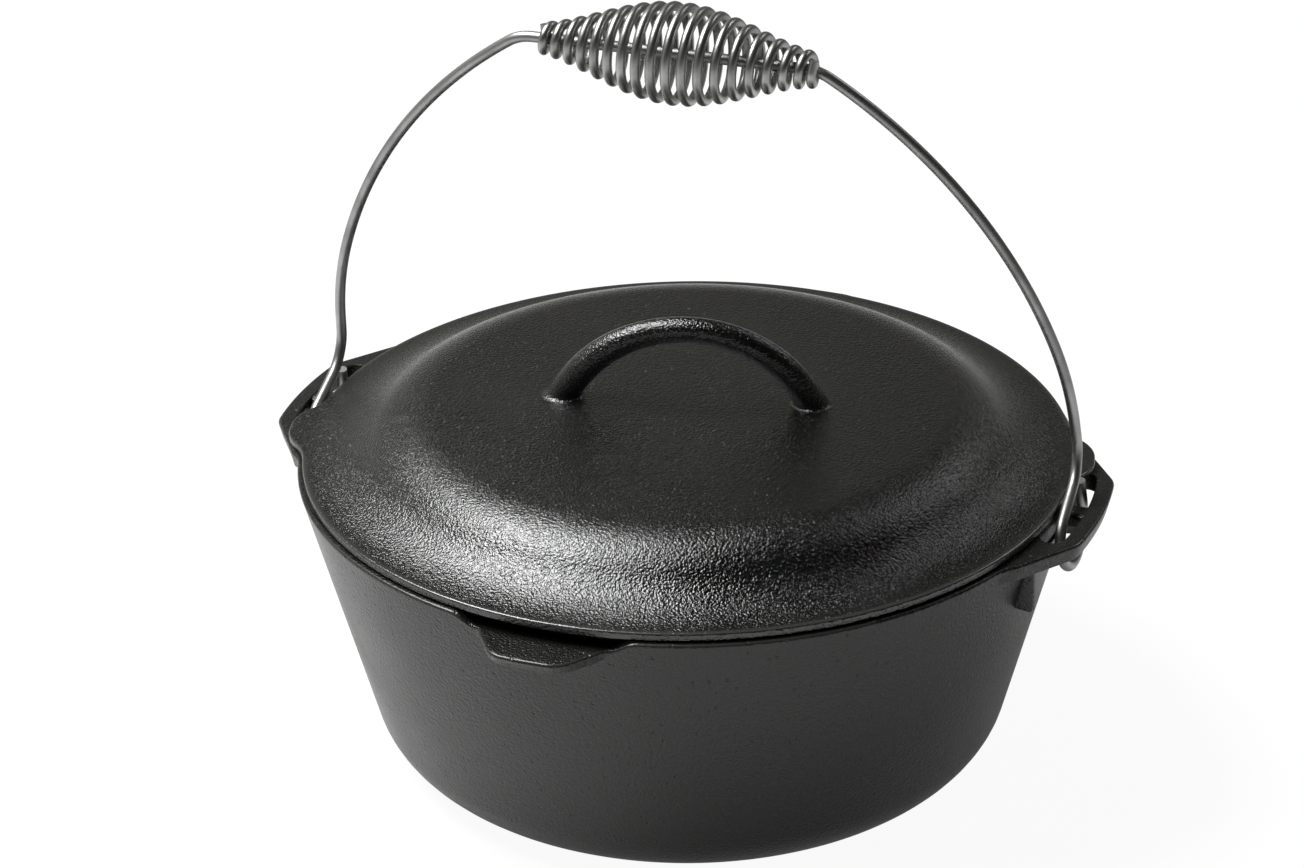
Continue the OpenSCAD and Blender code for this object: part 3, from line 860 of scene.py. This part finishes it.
class CAMPPOT_OT_grip(bpy.types.Operator):
    """Wind the spindle-shaped coil that turns on the bail's straight"""
    bl_idname = "camppot.grip"
    bl_label = "Grip"

    # the turns lie closer at both ends, by this share and power of the place along the coil
    end_pack = 0.035
    end_power = 9
    # power of the half wave that gives the coil its spindle shape
    spindle_power = 1.7
    # turn of the wire at the coil's middle
    phase = math.radians(250)
    # points on each turn of the wire
    turn_points = 40
    # points of a straight tip, as shares of its length
    tip_shares = (0.2, 0.4, 0.6, 0.75, 0.87, 0.95, 1.0)

    def coil(self, s):
        """Points of the wire's middle line about the X axis, from tip to tip."""
        count = round(s.coil_turns * self.turn_points)
        points = []
        for i in range(count + 1):
            t = 2 * i / count - 1
            x = s.coil_half * (t - self.end_pack * t ** self.end_power) / (1 - self.end_pack)
            end_r = s.coil_end_r + (s.coil_over_r - s.coil_end_r) * i / count
            r = end_r + (s.coil_mid_r - end_r) * max(0.0, math.cos(math.pi / 2 * t)) ** self.spindle_power
            a = self.phase - math.pi * s.coil_turns * t
            points.append(Vector((x, r * math.cos(a), r * math.sin(a))))
        first = (points[0] - points[1]).normalized() * s.coil_d
        last = (points[-1] - points[-2]).normalized() * s.coil_d
        left_tip = [points[0] + first * k for k in reversed(self.tip_shares)]
        right_tip = [points[-1] + last * k for k in self.tip_shares]
        return left_tip + points + right_tip

    def execute(self, context):
        s = context.scene.camp_pot.wire
        place = bail_place(s) @ Matrix.Translation((s.coil_shift, s.bail_offset, s.bail_rise))
        points = [place @ p for p in self.coil(s)]
        steel = drawn_steel("Wound spring steel, grip", context.scene.camp_pot.finish.grip_steel,
                            low_rough=0.3, high_rough=0.42)
        made = wire_piece("grip_coil", points, s.coil_d / 2, s.wire_sides, steel)
        dress(made, steel, "grip")
        return {"FINISHED"}


class CAMPPOT_OT_stage(bpy.types.Operator):
    """Lay the pale floor, hang the soft lights and place the camera"""
    bl_idname = "camppot.stage"
    bl_label = "Stage"

    # the floor's radius, and how far it lies below the base
    floor_r = 6.0
    floor_drop = 0.0002
    # paper and glow of the floor as reflections show it, and as the camera sees it
    mirrored_floor = (0.75, 0.25)
    seen_floor = (0.12, 0.94)
    # height that the lamps point at, and their distance from there
    lit_z = 0.12
    lamp_reach = 1.5
    # each lamp's width and depth, and its direction across, away from and above the camera's view
    key_size = (1.0, 0.7)
    key_way = (-0.46, 0.12, 0.88)
    side_size = (0.5, 0.3)
    side_way = (0.6, 0.46, 0.65)
    # colour of the room's light, and what is left of it on the right, overhead and behind the camera
    room_tint = (1, 1, 0.9, 1)
    right_share = 0.2
    ceiling_share = 0.1
    front_share = 0.1

    def floor(self, tint):
        """Wide paper that looks white with a faint shadow, and keeps a deeper one in reflections."""
        sheet = bmesh.new()
        bmesh.ops.create_circle(sheet, cap_ends=True, segments=64, radius=self.floor_r)
        made = piece("floor", sheet)
        made.location.z = -self.floor_drop
        material = blank("Matt white paper")
        tree = material.node_tree
        path = add(tree, "ShaderNodeLightPath")
        mirrored = add(tree, "ShaderNodeMath", {0: path.outputs["Is Glossy Ray"],
                                                1: path.outputs["Is Transmission Ray"]},
                       operation="MAXIMUM")
        matt = add(tree, "ShaderNodeBsdfDiffuse", {"Color": (*tint, 1)})
        surface = matt.outputs["BSDF"]
        looks = (
            (mirrored.outputs[0], *self.mirrored_floor),
            (path.outputs["Is Camera Ray"], *self.seen_floor),
        )
        for seen, grey, strength in looks:
            paper = add(tree, "ShaderNodeBsdfDiffuse", {"Color": (grey, grey, grey, 1)})
            glow = add(tree, "ShaderNodeEmission", {"Color": (1, 1, 1, 1), "Strength": strength})
            white = add(tree, "ShaderNodeAddShader", {0: paper.outputs["BSDF"],
                                                      1: glow.outputs["Emission"]})
            mixed = add(tree, "ShaderNodeMixShader", {0: seen, 1: surface, 2: white.outputs["Shader"]})
            surface = mixed.outputs["Shader"]
        add(tree, "ShaderNodeOutputMaterial", {"Surface": surface})
        made.data.materials.append(material)

    def lamp(self, name, watts, size, place, aim):
        """Soft rectangular light aimed at a point."""
        data = bpy.data.lights.new(name, "AREA")
        data.shape = "RECTANGLE"
        data.size = size[0]
        data.size_y = size[1]
        data.energy = watts
        made = bpy.data.objects.new(name, data)
        made.location = place
        made.rotation_mode = "QUATERNION"
        made.rotation_quaternion = (aim - place).to_track_quat("-Z", "Y")
        bpy.context.scene.collection.objects.link(made)

    def camera(self, scene, s, across, away, up):
        """Camera of the photograph, with its place, roll and focal length."""
        back = math.sin(s.elevation) * up - math.cos(s.elevation) * away
        rise = math.cos(s.elevation) * up + math.sin(s.elevation) * away
        aim = s.aim_side * across + s.aim_height * up
        right = math.cos(s.roll) * across + math.sin(s.roll) * rise
        top = math.cos(s.roll) * rise - math.sin(s.roll) * across
        data = bpy.data.cameras.new("camera")
        data.sensor_width = SENSOR_WIDTH
        data.sensor_fit = "HORIZONTAL"
        data.lens = PHOTO_FOCAL * SENSOR_WIDTH / PHOTO_WIDTH
        made = bpy.data.objects.new("camera", data)
        turn = Matrix((right, top, back)).transposed().to_4x4()
        made.matrix_world = Matrix.Translation(aim + s.distance * back) @ turn
        scene.collection.objects.link(made)
        scene.camera = made

    def room(self, strength, across, away):
        """Room that is pale on the left and behind the pot, and dim elsewhere under a dark ceiling."""
        world = bpy.data.worlds.new("Room")
        world.use_nodes = True
        tree = world.node_tree
        tree.nodes.clear()
        ray = add(tree, "ShaderNodeTexCoord").outputs["Generated"]
        height = add(tree, "ShaderNodeSeparateXYZ", {"Vector": ray}).outputs["Z"]
        aside = add(tree, "ShaderNodeVectorMath", {0: ray, 1: across}, operation="DOT_PRODUCT")
        depth = add(tree, "ShaderNodeVectorMath", {0: ray, 1: away}, operation="DOT_PRODUCT")
        wall = remap(tree, aside.outputs["Value"], (-0.6, 0.4), (strength, strength * self.right_share))
        fade = remap(tree, height, (0.0, 0.75), (1.0, self.ceiling_share))
        rear = remap(tree, depth.outputs["Value"], (-0.8, 0.6), (self.front_share, 1.0))
        shine = add(tree, "ShaderNodeMath", {0: wall, 1: fade}, operation="MULTIPLY").outputs["Value"]
        shine = add(tree, "ShaderNodeMath", {0: shine, 1: rear}, operation="MULTIPLY").outputs["Value"]
        light = add(tree, "ShaderNodeBackground", {"Color": self.room_tint, "Strength": shine})
        add(tree, "ShaderNodeOutputWorld", {"Surface": light.outputs["Background"]})
        return world

    def execute(self, context):
        scene = context.scene
        s = scene.camp_pot.stage
        across = Vector((math.cos(s.azimuth), math.sin(s.azimuth), 0))
        away = Vector((-math.sin(s.azimuth), math.cos(s.azimuth), 0))
        up = Vector((0, 0, 1))
        self.floor(scene.camp_pot.finish.floor)
        self.camera(scene, s, across, away, up)
        lit = Vector((0, 0, self.lit_z))
        lamps = (
            ("key_light", s.key, self.key_size, self.key_way),
            ("side_light", s.side, self.side_size, self.side_way),
        )
        for name, watts, size, way in lamps:
            place = lit + self.lamp_reach * (way[0] * across + way[1] * away + way[2] * up)
            self.lamp(name, watts, size, place, lit)
        scene.world = self.room(s.room, across, away)
        scene.view_settings.view_transform = "Standard"
        return {"FINISHED"}


class CAMPPOT_PT_panel(bpy.types.Panel):
    """Sidebar panel with one button for each piece"""
    bl_label = "Camp Pot"
    bl_idname = "CAMPPOT_PT_panel"
    bl_space_type = "VIEW_3D"
    bl_region_type = "UI"
    bl_category = "Camp Pot"

    def draw(self, context):
        for name in ("pot", "lid", "bail", "grip", "stage"):
            self.layout.operator("camppot." + name)


CLASSES = (
    PotSizes,
    LidSizes,
    WireSizes,
    Finishes,
    StageSizes,
    CampPot,
    CAMPPOT_OT_pot,
    CAMPPOT_OT_lid,
    CAMPPOT_OT_bail,
    CAMPPOT_OT_grip,
    CAMPPOT_OT_stage,
    CAMPPOT_PT_panel,
)


def register():
    """Adds the classes and the scene's sizes."""
    for made in CLASSES:
        bpy.utils.register_class(made)
    bpy.types.Scene.camp_pot = PointerProperty(type=CampPot)


def unregister():
    """Removes them again."""
    del bpy.types.Scene.camp_pot
    for made in reversed(CLASSES):
        bpy.utils.unregister_class(made)


def main():
    """Builds every piece and the stage."""
    register()
    bpy.ops.camppot.pot()
    bpy.ops.camppot.lid()
    bpy.ops.camppot.bail()
    bpy.ops.camppot.grip()
    bpy.ops.camppot.stage()


if __name__ == "__main__":
    main()
